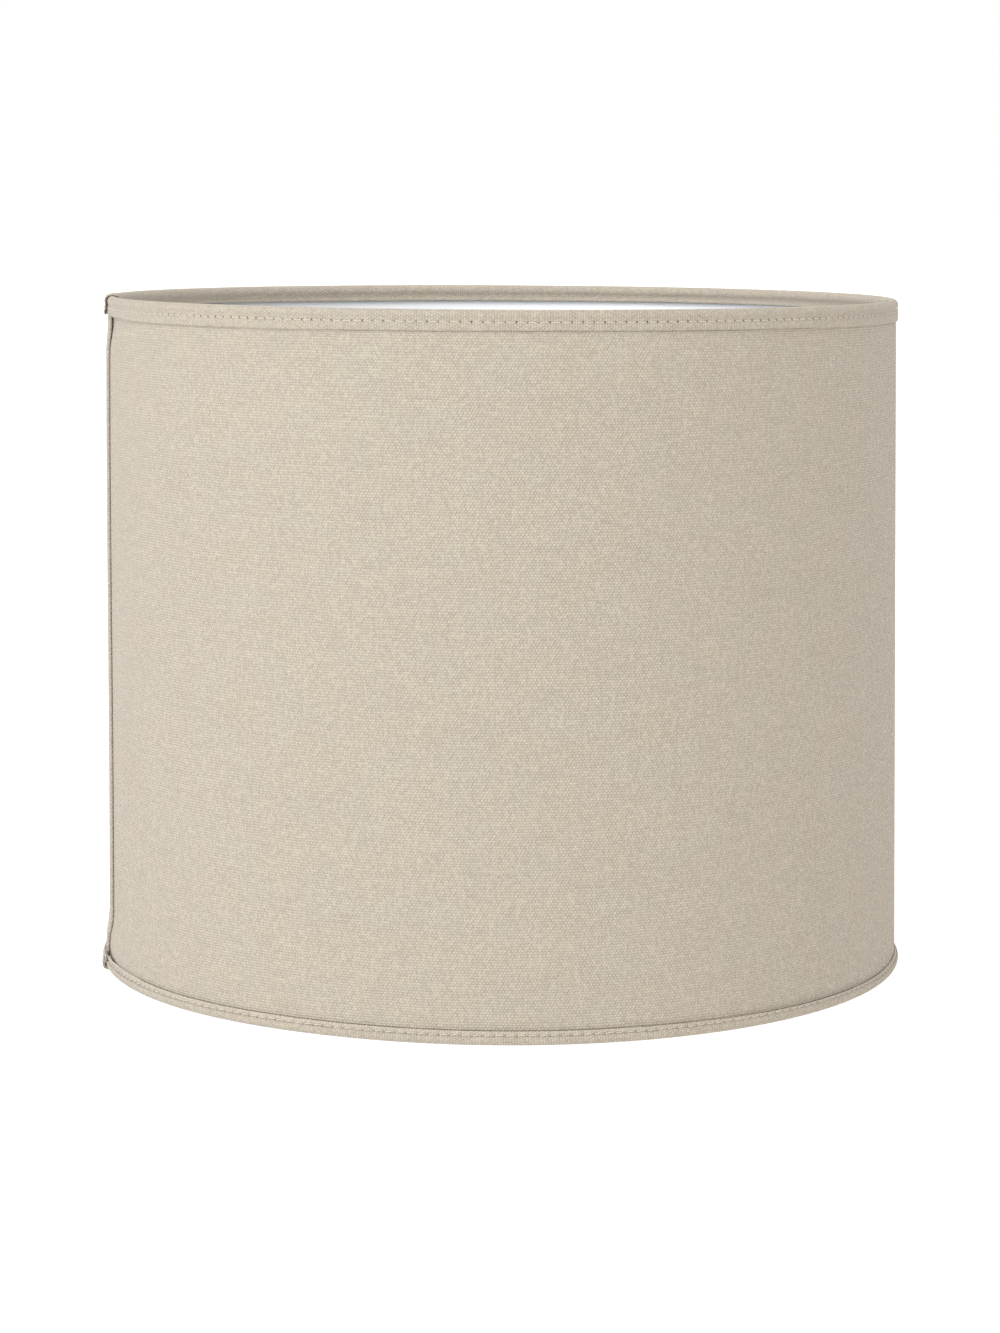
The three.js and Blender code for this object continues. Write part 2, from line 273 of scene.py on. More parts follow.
def rounded_outline(corners, radius, steps=4):
    """A closed outline with each corner rounded, for turned and pressed pieces."""
    corners = [Vector(c) for c in corners]
    points = []
    for i, corner in enumerate(corners):
        before = (corners[i - 1] - corner)
        after = (corners[(i + 1) % len(corners)] - corner)
        reach = min(radius, before.length * 0.45, after.length * 0.45)
        start = corner + before.normalized() * reach
        end = corner + after.normalized() * reach
        for s in range(steps + 1):
            t = s / steps
            points.append(tuple(start * (1 - t) ** 2 + corner * 2 * t * (1 - t) + end * t * t))
    return points


# ---------------------------------------------------------------- camera, light and floor

CAMERA_PLACE = (-0.0004, -1.322, 0.291)
CAMERA_DROP = 3.475  # below level
CAMERA_LENS = 94.66
CAMERA_SHIFT = -0.20


def make_camera():
    data = bpy.data.cameras.new("camera")
    data.lens = CAMERA_LENS
    data.sensor_width = 36
    data.shift_y = CAMERA_SHIFT
    data.clip_start, data.clip_end = 0.05, 100
    camera = bpy.data.objects.new("camera", data)
    camera.location = CAMERA_PLACE
    camera.rotation_euler = (math.radians(90 - CAMERA_DROP), 0, 0)
    bpy.context.scene.collection.objects.link(camera)
    bpy.context.scene.camera = camera


def area_light(name, spot, aim, size, power, color):
    data = bpy.data.lights.new(name, "AREA")
    data.shape = "DISK"
    data.size = size
    data.energy = power
    data.color = color
    light = bpy.data.objects.new(name, data)
    light.location = spot
    light.rotation_euler = (Vector(aim) - Vector(spot)).to_track_quat("-Z", "Y").to_euler()
    bpy.context.scene.collection.objects.link(light)


def make_studio():
    scene = bpy.context.scene
    scene.view_settings.view_transform = "Standard"
    world = bpy.data.worlds.new("studio")
    world.use_nodes = True
    world.node_tree.nodes["Background"].inputs["Color"].default_value = (1.0, 1.0, 1.0, 1)
    world.node_tree.nodes["Background"].inputs["Strength"].default_value = 1.0
    scene.world = world
    area_light("key", (-2.3, -2.1, 0.4), (0, 0, 0.1), 2.2, 43, (0.92, 1.0, 1.08))
    area_light("top", (-0.8, -1.9, 3.0), (0, 0, 0.2), 2.0, 61, (1.0, 0.99, 0.97))


def floor_material():
    """A white opal table, lit from below so that the shade hardly darkens it."""
    nodes = Nodes("floor")
    nodes.set(Base_Color=(0.42, 0.42, 0.42, 1), Roughness=0.85)
    nodes.shader.inputs["Specular IOR Level"].default_value = 0.1
    nodes.shader.inputs["Emission Color"].default_value = (1, 1, 1, 1)
    nodes.shader.inputs["Emission Strength"].default_value = 0.89
    return nodes.material


def make_floor():
    reach, rings, spokes = 30.0, 10, 96
    turn = np.linspace(0, 2 * math.pi, spokes, endpoint=False)
    radii = np.geomspace(0.2, reach, rings)
    vertices = [(0, 0, 0)] + [(r * math.cos(a), r * math.sin(a), 0) for r in radii for a in turn]
    faces = [(0, 1 + k, 1 + (k + 1) % spokes) for k in range(spokes)]
    for ring in range(rings - 1):
        for k in range(spokes):
            a, b = 1 + ring * spokes + k, 1 + ring * spokes + (k + 1) % spokes
            faces.append((a, a + spokes, b + spokes, b))
    floor = new_object("floor", vertices, faces, material=floor_material())
    floor.location.z = -0.02 * MM


# ---------------------------------------------------------------- materials

class Nodes:
    """Short forms for building a material's node tree."""

    def __init__(self, name):
        self.material = bpy.data.materials.new(name)
        self.material.use_nodes = True
        self.tree = self.material.node_tree
        self.shader = self.tree.nodes["Principled BSDF"]

    def add(self, kind, **settings):
        node = self.tree.nodes.new(kind)
        for key, value in settings.items():
            setattr(node, key, value)
        return node

    def link(self, source, target):
        self.tree.links.new(source, target)

    def put(self, socket, value):
        if isinstance(value, bpy.types.NodeSocket):
            self.link(value, socket)
        else:
            socket.default_value = value

    def math(self, operation, a, b=0.0, c=0.0, clamp=False):
        node = self.add("ShaderNodeMath", operation=operation, use_clamp=clamp)
        for socket, value in zip(node.inputs, (a, b, c)):
            self.put(socket, value)
        return node.outputs[0]

    def noise(self, vector, scale, detail=2.0, roughness=0.5):
        node = self.add("ShaderNodeTexNoise")
        self.link(vector, node.inputs["Vector"])
        node.inputs["Scale"].default_value = scale
        node.inputs["Detail"].default_value = detail
        node.inputs["Roughness"].default_value = roughness
        return node.outputs["Fac"]

    def vector(self, x=0.0, y=0.0, z=0.0):
        node = self.add("ShaderNodeCombineXYZ")
        for socket, value in zip(node.inputs, (x, y, z)):
            self.put(socket, value)
        return node.outputs[0]

    def ramp(self, value, stops):
        node = self.add("ShaderNodeValToRGB")
        self.link(value, node.inputs[0])
        while len(node.color_ramp.elements) < len(stops):
            node.color_ramp.elements.new(0.5)
        for element, (place, color) in zip(node.color_ramp.elements, stops):
            element.position = place
            element.color = (*color, 1)
        return node.outputs[0]

    def mix(self, factor, a, b, blend="MIX"):
        node = self.add("ShaderNodeMix", data_type="RGBA", blend_type=blend)
        self.put(node.inputs[0], factor)
        for socket, value in ((node.inputs[6], a), (node.inputs[7], b)):
            self.put(socket, (*value, 1) if isinstance(value, tuple) else value)
        return node.outputs[2]

    def bump(self, height, distance, strength=1.0):
        node = self.add("ShaderNodeBump")
        node.inputs["Strength"].default_value = strength
        node.inputs["Distance"].default_value = distance
        self.link(height, node.inputs["Height"])
        self.link(node.outputs[0], self.shader.inputs["Normal"])

    def set(self, **values):
        for key, value in values.items():
            self.put(self.shader.inputs[key.replace("_", " ")], value)


def plain_material(name, color, roughness):
    nodes = Nodes(name)
    nodes.set(Base_Color=(*color, 1), Roughness=roughness)
    return nodes.material


WARP_PITCH = 0.60 * MM
WEFT_PITCH = 0.93 * MM


def weave(nodes, turned):
    """Sockets for a plain weave: cloth position u, v, its height 0 to 1, and how each yarn varies."""
    uv = nodes.add("ShaderNodeUVMap", uv_map="cloth").outputs[0]
    split = nodes.add("ShaderNodeSeparateXYZ")
    nodes.link(uv, split.inputs[0])
    u, v = (split.outputs[1], split.outputs[0]) if turned else (split.outputs[0], split.outputs[1])
    place = nodes.vector(u, v)
    drift = nodes.math("SUBTRACT", nodes.noise(place, 55.0, 3.0), 0.5)
    u = nodes.math("MULTIPLY_ADD", drift, 0.55 * MM, u)
    drift = nodes.math("SUBTRACT", nodes.noise(nodes.vector(v, u, 0.7), 70.0, 3.0), 0.5)
    v = nodes.math("MULTIPLY_ADD", drift, 0.75 * MM, v)
    shiver = nodes.math("SUBTRACT", nodes.noise(place, 800.0, 2.0), 0.5)
    v = nodes.math("MULTIPLY_ADD", shiver, 0.20 * MM, v)
    warp = nodes.math("COSINE", nodes.math("MULTIPLY", u, math.pi / WARP_PITCH))
    weft = nodes.math("COSINE", nodes.math("MULTIPLY", v, math.pi / WEFT_PITCH))
    checks = nodes.math("MULTIPLY", warp, weft)
    rows = nodes.math("COSINE", nodes.math("MULTIPLY", v, 2 * math.pi / WEFT_PITCH))
    height = nodes.math("MULTIPLY_ADD", checks, 0.29, 0.5)
    height = nodes.math("MULTIPLY_ADD", rows, 0.20, height)
    weft_yarn = nodes.math("FLOOR", nodes.math("DIVIDE", v, WEFT_PITCH))
    warp_yarn = nodes.math("FLOOR", nodes.math("DIVIDE", u, WARP_PITCH))
    along_weft = nodes.vector(nodes.math("MULTIPLY", u, 70.0), nodes.math("MULTIPLY", weft_yarn, 3.7))
    along_warp = nodes.vector(nodes.math("MULTIPLY", warp_yarn, 3.7), nodes.math("MULTIPLY", v, 60.0))
    slubs = nodes.noise(along_weft, 1.0, 2.0, 0.6)
    ends = nodes.noise(along_warp, 1.0, 2.0, 0.6)
    cell = nodes.add("ShaderNodeTexWhiteNoise", noise_dimensions="3D")
    half = nodes.math("ROUND", nodes.math("DIVIDE", u, WARP_PITCH))
    nodes.link(nodes.vector(half, nodes.math("ROUND", nodes.math("DIVIDE", v, WEFT_PITCH))),
               cell.inputs["Vector"])
    return place, height, slubs, ends, cell.outputs["Value"]


def canvas_material(name, color, turned=False, stitched=False):
    """Natural cotton canvas: yarns that vary, small dark flecks and a dry, slightly hairy surface."""
    nodes = Nodes(name)
    place, height, slubs, ends, cells = weave(nodes, turned)
    # The weave's height darkens the colour where it is low: painted shade between the yarns. The slubs, ends,
    # cells and broad noise vary the yarns' own tone.
    light = nodes.math("MULTIPLY_ADD", nodes.math("SUBTRACT", height, 0.5), 0.42, 1.0)
    light = nodes.math("MULTIPLY_ADD", nodes.math("SUBTRACT", slubs, 0.5), 0.12, light)
    light = nodes.math("MULTIPLY_ADD", nodes.math("SUBTRACT", ends, 0.5), 0.06, light)
    light = nodes.math("MULTIPLY_ADD", nodes.math("SUBTRACT", cells, 0.5), 0.20, light)
    broad = nodes.noise(place, 45.0, 3.0, 0.6)
    light = nodes.math("MULTIPLY_ADD", nodes.math("SUBTRACT", broad, 0.5), 0.035, light)
    tints = [(0.35, (0.995, 1.0, 1.0)), (0.65, (1.015, 0.992, 0.985))]
    warm = nodes.ramp(nodes.noise(place, 60.0, 2.0), tints)
    body = nodes.mix(1.0, color, nodes.vector(light, light, light), "MULTIPLY")
    body = nodes.mix(1.0, body, warm, "MULTIPLY")
    spots = nodes.add("ShaderNodeTexVoronoi", feature="F1")
    nodes.link(place, spots.inputs["Vector"])
    spots.inputs["Scale"].default_value = 85.0
    size = nodes.math("MULTIPLY", spots.outputs["Color"], 0.055)
    near = nodes.math("LESS_THAN", spots.outputs["Distance"], nodes.math("SUBTRACT", size, 0.030))
    fleck = nodes.math("MULTIPLY", near, 0.55)
    body = nodes.mix(fleck, body, (color[0] * 0.42, color[1] * 0.33, color[2] * 0.25))
    fibre = nodes.noise(place, 5200.0, 2.0)
    rough = nodes.math("MULTIPLY_ADD", fibre, 0.20, height)
    rough = nodes.math("MULTIPLY_ADD", slubs, 0.30, rough)
    rough = nodes.math("MULTIPLY_ADD", cells, 0.22, rough)
    if stitched:
        seam = nodes.add("ShaderNodeUVMap", uv_map="seam").outputs[0]
        split = nodes.add("ShaderNodeSeparateXYZ")
        nodes.link(seam, split.inputs[0])
        along, across = split.outputs[0], split.outputs[1]
        # the inner side and the tucks are lighter, in place of light that comes through the cloth
        inner = nodes.math("GREATER_THAN", across, INNER_MARK - 0.6)
        lit = nodes.math("MULTIPLY_ADD", inner, 0.11, 1.0)
        body = nodes.mix(1.0, body, nodes.vector(lit, lit, lit), "MULTIPLY")
        # each needle hole is painted near black: painted shade in the hole; the bump dips there too
        hole = needle_holes(nodes, along, across)
        body = nodes.mix(nodes.math("MULTIPLY", hole, 0.85), body, (0.13, 0.10, 0.075))
        rough = nodes.math("SUBTRACT", rough, hole)
    nodes.set(Base_Color=body, Roughness=0.93)
    nodes.shader.inputs["Specular IOR Level"].default_value = 0.18
    nodes.shader.inputs["Sheen Weight"].default_value = 0.12
    nodes.shader.inputs["Sheen Roughness"].default_value = 0.5
    nodes.bump(rough, 0.42 * MM, 1.0)
    return nodes.material


def needle_holes(nodes, along, across):
    """A mask that is 1 in each needle hole, from stitches counted along the tape, and mm across it. It paints
    the shade in each hole, stronger at some holes than others.
    """
    count = nodes.math("ADD", along, 0.5)
    along = nodes.math("MULTIPLY", nodes.math("SUBTRACT", nodes.math("FRACT", count), 0.5), STITCH_MM)
    across = nodes.math("MULTIPLY", across, 1.1)
    square = nodes.math("ADD", nodes.math("POWER", nodes.math("ABSOLUTE", along), 2.0),
                        nodes.math("POWER", nodes.math("ABSOLUTE", across), 2.0))
    away = nodes.math("SQRT", square)
    fade = nodes.add("ShaderNodeMapRange", interpolation_type="SMOOTHSTEP")
    nodes.link(away, fade.inputs["Value"])
    fade.inputs["From Min"].default_value = 0.66
    fade.inputs["From Max"].default_value = 0.22
    each = nodes.add("ShaderNodeTexWhiteNoise", noise_dimensions="1D")
    nodes.link(nodes.math("FLOOR", count), each.inputs["W"])
    strength = nodes.math("MULTIPLY_ADD", each.outputs["Value"], 0.6, 0.4)
    return nodes.math("MULTIPLY", fade.outputs[0], strength)


def thread_material(name, color):
    nodes = Nodes(name)
    position = nodes.add("ShaderNodeTexCoord").outputs["Object"]
    ply = nodes.noise(position, 2600.0, 2.0)
    shade = nodes.ramp(ply, [(0.3, tuple(c * 0.82 for c in color)), (0.7, color)])
    nodes.set(Base_Color=shade, Roughness=0.75)
    nodes.shader.inputs["Sheen Weight"].default_value = 0.15
    nodes.bump(ply, 0.05 * MM, 0.6)
    return nodes.material


def liner_material():
    """White self-adhesive plastic sheet: satin, with a faint orange-peel texture."""
    nodes = Nodes("liner")
    position = nodes.add("ShaderNodeTexCoord").outputs["Object"]
    peel = nodes.noise(position, 900.0, 2.0)
    cloud = nodes.noise(position, 9.0, 2.0)
    tone = nodes.ramp(cloud, [(0.3, (0.775, 0.785, 0.80)), (0.7, (0.80, 0.81, 0.825))])
    nodes.set(Base_Color=tone, Roughness=nodes.math("MULTIPLY_ADD", peel, 0.12, 0.42))
    nodes.bump(peel, 0.03 * MM, 0.5)
    return nodes.material


def lacquer_material():
    """White powder coat: satin, with the coat's fine texture and a faint cloudy variation in its tone."""
    nodes = Nodes("white_wire")
    position = nodes.add("ShaderNodeTexCoord").outputs["Object"]
    grain = nodes.noise(position, 2400.0, 3.0)
    cloud = nodes.noise(position, 60.0, 2.0)
    tone = nodes.ramp(cloud, [(0.3, (0.76, 0.76, 0.74)), (0.7, (0.83, 0.83, 0.815))])
    nodes.set(Base_Color=tone, Roughness=nodes.math("MULTIPLY_ADD", grain, 0.15, 0.33))
    nodes.bump(grain, 0.04 * MM, 0.5)
    return nodes.material


def zinc_material():
    """Bright zinc plate: a fine grain and a faint clouding of the plate."""
    nodes = Nodes("zinc_plate")
    position = nodes.add("ShaderNodeTexCoord").outputs["Object"]
    cloud = nodes.noise(position, 140.0, 3.0, 0.6)
    grain = nodes.noise(position, 3200.0, 2.0)
    tone = nodes.ramp(cloud, [(0.25, (0.50, 0.515, 0.53)), (0.75, (0.63, 0.64, 0.65))])
    nodes.set(Base_Color=tone, Metallic=1.0, Roughness=nodes.math("MULTIPLY_ADD", cloud, 0.2, 0.22))
    nodes.bump(grain, 0.012 * MM, 0.5)
    return nodes.material


def steel_material():
    nodes = Nodes("spring_steel")
    position = nodes.add("ShaderNodeTexCoord").outputs["Object"]
    grain = nodes.noise(position, 1800.0, 3.0)
    tone = nodes.ramp(grain, [(0.3, (0.30, 0.31, 0.33)), (0.7, (0.42, 0.43, 0.45))])
    nodes.set(Base_Color=tone, Metallic=1.0, Roughness=0.28)
    nodes.bump(grain, 0.01 * MM, 0.5)
    return nodes.material


def plastic_material():
    """White moulded plastic with a fine spark-eroded texture."""
    nodes = Nodes("white_plastic")
    position = nodes.add("ShaderNodeTexCoord").outputs["Object"]
    grain = nodes.noise(position, 3000.0, 2.0)
    cloud = nodes.noise(position, 40.0, 2.0)
    tone = nodes.ramp(cloud, [(0.3, (0.83, 0.83, 0.81)), (0.7, (0.87, 0.87, 0.855))])
    nodes.set(Base_Color=tone, Roughness=nodes.math("MULTIPLY_ADD", grain, 0.12, 0.36))
    nodes.bump(grain, 0.02 * MM, 0.5)
    return nodes.material


# ---------------------------------------------------------------- the rolled panel

SEAM_DIP = 1.20 * MM  # how far the hidden end lies below the seam's top layer


def near_seam(angle, width=9.0):
    return np.exp(-((angle % 360 - FOLD_ANGLE) / width) ** 2)


def panel_dip(angle, height):
    """The hidden end lies lower, and sinks further where the stitching squeezes the fold."""
    gap = 0.35 * MM * smooth(HEIGHT - 21 * MM, HEIGHT - 11 * MM, height)
    return (SEAM_DIP + gap) * (1 - smooth(FOLD_ANGLE + 0.6, LEVEL_ANGLE, angle))


def seam_shift(angle, height):
    """The seam runs a little flat towards the bottom and is pulled in under the top binding."""
    pinch = -1.05 * MM * smooth(HEIGHT - 21 * MM, HEIGHT - 9 * MM, height)
    flat = -0.9 * MM * smooth(210 * MM, 30 * MM, height)
    flare = 1.5 * MM * smooth(18 * MM, 9 * MM, height)
    return near_seam(angle) * (pinch + flat + flare)


def panel_radius(angle, height, below):
    """Radius of a surface that lies a distance below the canvas's outside, with hand-made waves."""
    wave = 0.06 * MM * wander(angle, 4) * smooth(0, 60 * MM, height) * smooth(0, 60 * MM, HEIGHT - height)
    shift = seam_shift(angle, height) + wave
    return COVER - below - panel_dip(angle, height) + shift


def panel_grid(path, heights):
    """Grid of points from a path of (angle, depth below the outside) and a list of heights."""
    angle = path[:, 0][:, None]
    below = path[:, 1][:, None]
    height = heights[None, :]
    return stand(angle, panel_radius(angle, height, below), height)


def round_path(below, first, last, step=0.5):
    angles = np.arange(first, last + step / 2, step)
    return np.stack([angles, np.full(len(angles), below)], axis=-1)


def degrees_of(length):
    return math.degrees(length / COVER)


def make_cover(material):
    """Canvas from its hidden end, once round, over the fold and back under for the width of the hem."""
    half = CANVAS_THICK / 2
    end = FOLD_ANGLE + 360
    turn_below = half + (LINER_THICK + CANVAS_THICK + 2 * AIR) / 2
    turn_radius = turn_below - half
    fold = [(end + degrees_of(turn_radius * math.sin(t)), turn_below - turn_radius * math.cos(t))
            for t in np.linspace(0, math.pi, 11)]
    hem_below = turn_below + turn_radius
    hem = [(end - degrees_of(SEAM_HEM) * t, hem_below) for t in np.linspace(0.08, 1, 12)]
    path = np.concatenate([round_path(half, HIDDEN_ANGLE, end - 0.2), fold, hem])
    heights = np.linspace(PANEL_BOTTOM, PANEL_TOP, 64)
    cover = sheet_mesh("canvas_cover", panel_grid(path, heights), CANVAS_THICK, material)
    around = steps_along(panel_grid(path, heights)[:, 32])[-1]
    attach(cover, "shade")
    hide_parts("fabric_cover")
    return cover


def make_liner(material):
    below = CANVAS_THICK + AIR + LINER_THICK / 2
    path = round_path(below, HIDDEN_ANGLE + 0.4, FOLD_ANGLE + 360 - 0.1)
    heights = np.linspace(PANEL_BOTTOM + 0.2 * MM, PANEL_TOP - 0.2 * MM, 24)
    grid = panel_grid(path, heights)
    liner = sheet_mesh("liner_sheet", grid, LINER_THICK, material)
    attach(liner, "shade")
    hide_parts("shade_liner")
    return liner


def make_seam_glue(material):
    below = 2 * CANVAS_THICK + LINER_THICK + 3 * AIR + 0.02 * MM
    path = round_path(below + 0.04 * MM, HIDDEN_ANGLE + 360 + 0.6, FOLD_ANGLE + 360 - 0.4, 0.25)
    heights = np.linspace(PANEL_BOTTOM + 1 * MM, PANEL_TOP - 1 * MM, 24)
    glue = sheet_mesh("seam_glue", panel_grid(path, heights), 0.08 * MM, material)
    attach(glue, "shade")
    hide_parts("seam_tape")
    return glue


# ---------------------------------------------------------------- the bindings

def flap_depth(top, angle):
    """Rim to the outer edge of the binding, never quite even: on top it is taller at the sides, short at
    the tape's raw end and tall just past it; at the bottom it is shallow on the right."""
    side = np.abs(np.cos(np.radians(angle))) ** 3
    if top:
        end = -1.0 * np.exp(-((angle % 360 - 188) / 16) ** 2)
        beyond = 0.5 * np.exp(-((angle % 360 - 235) / 22) ** 2)
        return (7.1 + 0.9 * side + end + beyond + 0.16 * wander(angle, 11)) * MM
    left = 0.5 * np.exp(-((angle % 360 - 203) / 8) ** 2)
    right = -0.75 * np.exp(-(((angle - 327 + 180) % 360 - 180) / 32) ** 2)
    return (5.0 + left + right + 0.14 * wander(angle, 12)) * MM


def tape_thickness(top):
    """The bottom binding is pressed flatter than the top one."""
    return TAPE_THICK if top else BOTTOM_PRESS * TAPE_THICK


def stitch_depth(top):
    return STITCH if top else STITCH - BOTTOM_STITCH_DROP


def inner_depth(top, angle):
    return ((6.35 if top else 7.0) + 0.2 * wander(angle, 21 if top else 22)) * MM


def ring_radius(top):
    return RING - (TOP_RING_INSET if top else 0)


def tape_end(top):
    return TOP_TAPE_END if top else BOTTOM_TAPE_END


def tape_section(top, outer_flap, inner_flap, inset):
    """Middle of the tape as (radius, depth), from its turned-in outer edge to its inner one."""
    ring = ring_radius(top)
    thick = tape_thickness(top)
    turn = 0.5 * thick + AIR / 2
    under = COVER + AIR + thick / 2
    over = under + 2 * turn
    bulge = RIM - thick / 2 - RING
    lining = COVER - CANVAS_THICK - LINER_THICK - 3 * AIR - thick / 2 - inset
    inside = lining - 2 * turn
    mid = RING_DEPTH
    sewn_at = stitch_depth(top)
    puff = (0.16 if top else 0.02) * MM
    hem = min(mid + WIRE + 0.6 * MM, outer_flap - 1.1 * MM)
    arc = [(ring + bulge * math.cos(t), mid - bulge * math.sin(t))
           for t in np.radians(np.linspace(-30, 205, 13))]
    return [
        (under, hem),
        (under, (hem + outer_flap) / 2 - turn),
        (under, outer_flap - 2.0 * turn),
        (under + turn, outer_flap - 0.3 * turn),
        (over, outer_flap - 2.0 * turn),
        (over + puff, (outer_flap + sewn_at) / 2 + 0.1 * MM),
        (over + 0.03 * MM, sewn_at + 0.3 * MM),
        (over - (0.10 if top else 0.03) * MM, sewn_at),
        (over + 0.02 * MM, sewn_at - 0.3 * MM),
        *arc,
        (inside - 0.30 * MM, sewn_at),
        (inside - 0.60 * MM, (inner_flap + sewn_at) / 2),
        (inside - 0.85 * MM, inner_flap - 2.0 * turn),
        (inside + turn - 0.85 * MM, inner_flap - 0.3 * turn),
        (lining - 0.80 * MM, inner_flap - 2.0 * turn),
        (lining - 0.15 * MM, mid + WIRE + 1.0 * MM),
    ]


def lap_inset(angle):
    """How far the inner flap stands in from the panel over the seam."""
    turned = angle % 360
    return SEAM_DIP * smooth(HIDDEN_ANGLE - 6, HIDDEN_ANGLE - 0.5, turned) \
        * (1 - smooth(FOLD_ANGLE + 1, LEVEL_ANGLE, turned))


def end_lift(top, angle, depth):
    """The last stretch lies on the first. Its unsewn raw end gapes a little: most at the flap on top,
    most at the rim at the bottom."""
    lap = (2 * tape_thickness(top) + 2 * AIR) * smooth(LAP - 5, LAP, angle)
    gape = smooth(tape_end(top) - 6, tape_end(top), angle) * MM
    flap = smooth(STITCH - 0.5 * MM, STITCH + 2 * MM, depth)
    return lap + gape * ((0.25 + 0.3 * flap) if top else (0.95 - 0.15 * flap))


def pucker(top, angle, depth):
    """Each needle hole pulls the tape in, and it rises again between the holes."""
    beat = 0.5 + 0.5 * np.cos(np.radians(angle - TAPE_START) * STITCHES)
    off = depth - stitch_depth(top)
    groove = (-0.07 if top else -0.03) * beat ** 2 * np.exp(-(off / (0.8 * MM)) ** 2)
    hole = (-0.22 if top else -0.28) * beat ** 14 * np.exp(-(off / (0.35 * MM)) ** 2)
    return (groove + hole) * MM


def sewn(top, angle, radius, depth):
    """Moves the plain section to suit the seam beneath, the lap and the stitches."""
    ring = ring_radius(top)
    outside = smooth(ring - 0.4 * MM, ring + 0.4 * MM, radius)
    height = HEIGHT - depth if top else depth
    if top:
        carried = np.ones_like(depth)
    else:
        carried = smooth(RING_DEPTH, RING_DEPTH + 3 * MM, depth)
    shift = seam_shift(angle, height) * carried
    lift = end_lift(top, angle, depth)
    away = np.minimum(1, np.abs(radius - ring) / WIRE)
    side = np.where(outside > 0.5, 1.0, -1.0)
    radius = radius + pucker(top, angle, depth) * outside + lift * side * away + shift
    return radius, depth - lift * np.clip(1 - depth / RING_DEPTH, 0, 1) * (0.6 if top else 0.2)


def binding_angles(top):
    """Five rows of mesh to each stitch, closer together at the needle hole."""
    pitch = 360 / STITCHES
    parts = np.array([-0.10, 0.0, 0.10, 0.35, 0.65]) * pitch
    starts = TAPE_START + pitch * np.arange(1, STITCHES + 8)
    angles = (starts[:, None] + parts[None, :]).ravel()
    angles = angles[(angles > TAPE_START + 0.2) & (angles < tape_end(top) - 0.2)]
    return np.concatenate([[TAPE_START], angles, [tape_end(top)]])


def binding_grid(top, columns=60):
    """The tape's mesh points, its map for the needle holes, and which cells have cloth in them."""
    angles = binding_angles(top)
    grid = np.empty((len(angles), columns, 3))
    seam = np.empty((len(angles), columns, 2))
    slit = np.zeros((len(angles), columns), dtype=bool)
    for row, angle in enumerate(angles):
        section = tape_section(top, float(flap_depth(top, angle)), float(inner_depth(top, angle)),
                               float(lap_inset(angle)))
        points = curve_through(section, columns)
        radius, depth = sewn(top, angle, points[:, 0], points[:, 1])
        depth = depth + 0.03 * MM * float(wander(angle, 31 + top, (9, 14, 22, 31)))
        grid[row] = stand(angle, radius, HEIGHT - depth if top else depth)
        outer = (points[:, 0] > COVER) & (np.arange(columns) > columns * 0.16)
        seam[row, :, 0] = (angle - TAPE_START) * STITCHES / 360
        across = (points[:, 1] - stitch_depth(top)) / MM * (1 if top else 0.72)
        seam[row, :, 1] = np.where(outer, across, INNER_MARK)
        inner = (points[:, 0] < ring_radius(top) - 0.9 * MM) & (points[:, 1] > RING_DEPTH - 1.2 * MM)
        slit[row] = inner & (min(angle % 180, 180 - angle % 180) < 0.9)
    keep = ~(slit[:-1, :-1] & slit[1:, 1:]) if top else np.ones((len(angles) - 1, columns - 1), bool)
    return grid, seam, keep


def make_binding(top, material):
    """One rim's tape, all the way round and past its own start. Returns the points of its mesh."""
    name = "top" if top else "bottom"
    thick = tape_thickness(top)
    grid, seam, keep = binding_grid(top)
    if not top:
        grid[..., 2] -= grid[..., 2].min() - thick / 2 - 0.02 * MM
    tape = sheet_mesh(f"{name}_tape", grid, thick, material, flip=not top, keep=keep)
    second_uv(tape, "seam", seam)
    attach(tape, "shade")
    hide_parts(f"{name}_binding")
    return grid


def tucked_end(name, grid, layer, material):
    """A fold of tape tucked in beneath the last end, as deep as its layer."""
    rows = grid[-18:, 5:42]
    normal = grid_normals(rows)
    middle = rows.mean(axis=1, keepdims=True)
    inward = normal * np.sign(np.sum(normal * (middle - rows), axis=-1, keepdims=True))
    tuck = sheet_mesh(name, rows + inward * (layer * 1.15) * TAPE_THICK, TAPE_THICK, material)
    second_uv(tuck, "seam", np.full((*rows.shape[:2], 2), INNER_MARK + 0.5))
    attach(tuck, "shade")


def frayed_end(name, grid, top, material):
    """Short yarn ends along the tape's raw edge, from the flap over the rim to the inside."""
    rng = random.Random(40 + top)
    last, before = grid[-1], grid[-3]
    forward = last - before
    forward = forward / np.linalg.norm(forward, axis=-1, keepdims=True)
    parts = []
    for _ in range(260 if top else 90):
        place = rng.uniform(2, 38)
        i = int(place)
        root = last[i] * (1 - place + i) + last[i + 1] * (place - i)
        out = np.array([root[0], root[1], 0.0])
        out = out / np.linalg.norm(out)
        middle = last[2:38].mean(axis=0)
        root = root + (middle - root) / np.linalg.norm(middle - root) * rng.uniform(-0.15, 0.55) * MM
        reach = rng.uniform(0.35, 1.25) * MM
        lean = out * rng.uniform(-0.5, 0.6) + np.array([0, 0, rng.uniform(-0.5, 0.5)])
        curl = out * rng.uniform(-0.3, 0.5) + np.array([0, 0, rng.uniform(-0.4, 0.4)])
        t = np.linspace(-0.4, 1, 6)[:, None]
        path = root + reach * (forward[i] * t + lean * t * 0.5 + curl * t * t * 0.4)
        thin = rng.uniform(0.06, 0.11) * MM * np.linspace(1, 0.45, 6)
        parts.append(tube_parts(path, thin, 5))
    frays = joined(name, parts, material)
    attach(frays, "shade")
    return frays


